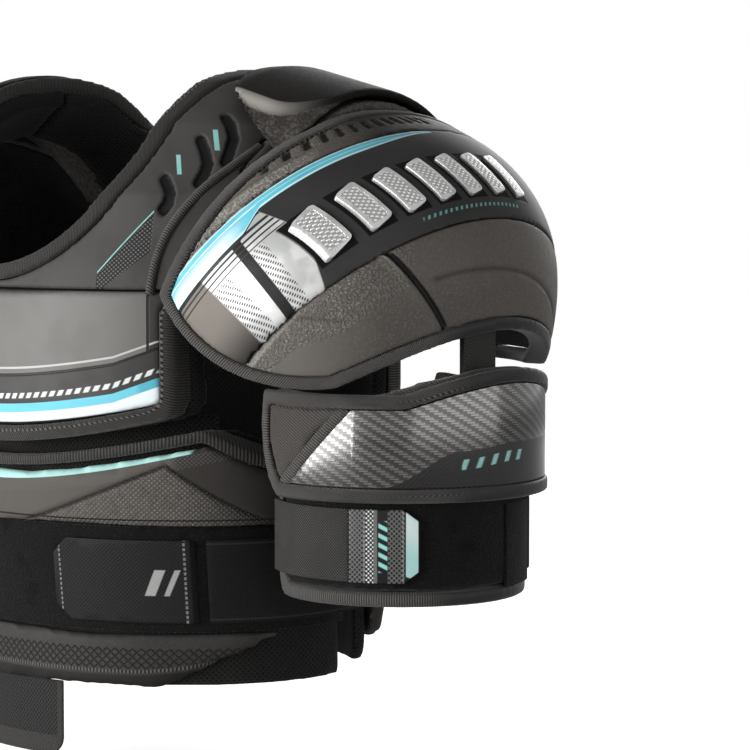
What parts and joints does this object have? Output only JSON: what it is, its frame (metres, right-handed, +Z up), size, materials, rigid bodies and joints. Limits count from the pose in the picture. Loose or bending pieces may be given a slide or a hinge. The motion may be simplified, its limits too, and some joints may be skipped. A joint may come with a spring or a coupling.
{
  "type": "hockey shoulder pads",
  "caption": "Padded chest, back and belly harness with domed shoulder caps that lift, strapped upper arm guards and a waist strap, for ice hockey.",
  "frame": {"origin": "on the centre plane, level with the tops of the wearer's shoulders, midway through the body", "axes": "+Z up, the wearer faces -Y, the wearer's left side is +X"},
  "size_m": [0.5772, 0.2745, 0.4007],
  "materials": {
    "liner_mesh": "dark brushed mesh over foam",
    "molded_foam": "warm grey moulded foam with a satin skin",
    "printed_film": "charcoal film print",
    "silver_film": "raised silver film",
    "ribbed_binding": "black ribbed grosgrain binding",
    "shield_plastic": "glossy black plastic with a woven pattern",
    "rubber_shield": "matte black moulded rubber",
    "loop_fabric": "black brushed loop fabric",
    "elastic": "black woven elastic",
    "strap_tab": "black mesh tab with a silver dotted print",
    "label_mesh": "thin black mesh"
  },
  "bodies": {
    "chest_and_back": {"neck_collar": "liner_mesh", "chest_liner": "liner_mesh", "back_liner": "liner_mesh", "chest_plate": "rubber_shield", "chest_binding": "ribbed_binding", "left_collar_shield": "rubber_shield", "right_collar_shield": "rubber_shield", "back_plate": "molded_foam", "back_binding": "ribbed_binding", "spine_guard": "molded_foam", "left_arch_pad": "molded_foam", "right_arch_pad": "molded_foam", "left_arch_step": "molded_foam", "right_arch_step": "molded_foam", "left_waist_elastic": "elastic", "right_waist_elastic": "elastic"},
    "left_shoulder_cap": {"left_cap_liner": "liner_mesh", "left_cap_binding": "ribbed_binding", "left_cap_top_panel": "molded_foam", "left_cap_print_panel": "printed_film", "left_cap_front_panel": "molded_foam", "left_cap_rear_panel": "molded_foam", "left_cap_bars": "silver_film"},
    "left_suspension_webbing": {"left_arm_webbing": "elastic"},
    "left_arm_guard": {"left_bicep_pad": "liner_mesh", "left_bicep_shield": "shield_plastic", "left_bicep_binding": "ribbed_binding", "left_arm_wrap": "loop_fabric", "left_arm_wrap_binding": "ribbed_binding", "left_arm_wrap_patch": "loop_fabric", "left_arm_elastic": "elastic"},
    "left_arm_strap_tab": {"left_arm_tab": "strap_tab"},
    "left_waist_strap_tab": {"left_waist_tab": "strap_tab"},
    "right_shoulder_cap": {"right_cap_liner": "liner_mesh", "right_cap_binding": "ribbed_binding", "right_cap_top_panel": "molded_foam", "right_cap_print_panel": "printed_film", "right_cap_front_panel": "molded_foam", "right_cap_rear_panel": "molded_foam", "right_cap_bars": "silver_film"},
    "right_suspension_webbing": {"right_arm_webbing": "elastic"},
    "right_arm_guard": {"right_bicep_pad": "liner_mesh", "right_bicep_shield": "shield_plastic", "right_bicep_binding": "ribbed_binding", "right_arm_wrap": "loop_fabric", "right_arm_wrap_binding": "ribbed_binding", "right_arm_wrap_patch": "loop_fabric", "right_arm_elastic": "elastic"},
    "right_arm_strap_tab": {"right_arm_tab": "strap_tab"},
    "right_waist_strap_tab": {"right_waist_tab": "strap_tab"},
    "belly_panels": {"belly_liner": "liner_mesh", "left_rib_panel": "molded_foam", "right_rib_panel": "molded_foam", "left_rib_piping": "ribbed_binding", "right_rib_piping": "ribbed_binding", "waist_loop_band": "loop_fabric", "belly_pad": "molded_foam", "size_label": "label_mesh"},
    "kidney_panel": {"kidney_pad": "molded_foam"}
  },
  "joints": [
    {"name": "left_cap_lift", "type": "hinge", "parent": "chest_and_back", "child": "left_shoulder_cap", "pos_m": [0.187, 0.005, 0.009], "axis": [0, -1, 0], "range_deg": [0, 45]},
    {"name": "left_arm_swing", "type": "hinge", "parent": "left_shoulder_cap", "child": "left_suspension_webbing", "pos_m": [0.2679, 0.004, -0.119], "axis": [0, -1, 0], "range_deg": [0, 15]},
    {"name": "left_guard_turn", "type": "hinge", "parent": "left_suspension_webbing", "child": "left_arm_guard", "pos_m": [0.206, 0.004, -0.15], "axis": [0, 0, 1], "range_deg": [-8, 8]},
    {"name": "left_arm_tab_peel", "type": "hinge", "parent": "left_arm_guard", "child": "left_arm_strap_tab", "pos_m": [0.23198, -0.06368, -0.233], "axis": [0, 0, -1], "range_deg": [0, 80]},
    {"name": "left_waist_tab_peel", "type": "hinge", "parent": "chest_and_back", "child": "left_waist_strap_tab", "pos_m": [0.1185, -0.06655, -0.264], "axis": [0, -0.0648, 0.9979], "range_deg": [0, 60]},
    {"name": "right_cap_lift", "type": "hinge", "parent": "chest_and_back", "child": "right_shoulder_cap", "pos_m": [-0.187, 0.005, 0.009], "axis": [0, 1, 0], "range_deg": [0, 45]},
    {"name": "right_arm_swing", "type": "hinge", "parent": "right_shoulder_cap", "child": "right_suspension_webbing", "pos_m": [-0.2679, 0.004, -0.119], "axis": [0, 1, 0], "range_deg": [0, 15]},
    {"name": "right_guard_turn", "type": "hinge", "parent": "right_suspension_webbing", "child": "right_arm_guard", "pos_m": [-0.206, 0.004, -0.15], "axis": [0, 0, 1], "range_deg": [-8, 8]},
    {"name": "right_arm_tab_peel", "type": "hinge", "parent": "right_arm_guard", "child": "right_arm_strap_tab", "pos_m": [-0.23198, -0.06368, -0.233], "axis": [0, 0, 1], "range_deg": [0, 80]},
    {"name": "right_waist_tab_peel", "type": "hinge", "parent": "chest_and_back", "child": "right_waist_strap_tab", "pos_m": [-0.1185, -0.06655, -0.264], "axis": [0, 0.0648, -0.9979], "range_deg": [0, 60]},
    {"name": "belly_float", "type": "slide", "parent": "chest_and_back", "child": "belly_panels", "axis": [0, 0, 1], "range_m": [0, 0.005]},
    {"name": "kidney_fold", "type": "hinge", "parent": "chest_and_back", "child": "kidney_panel", "pos_m": [0, 0.105, -0.2], "axis": [1, 0, 0], "range_deg": [0, 20]}
  ]
}
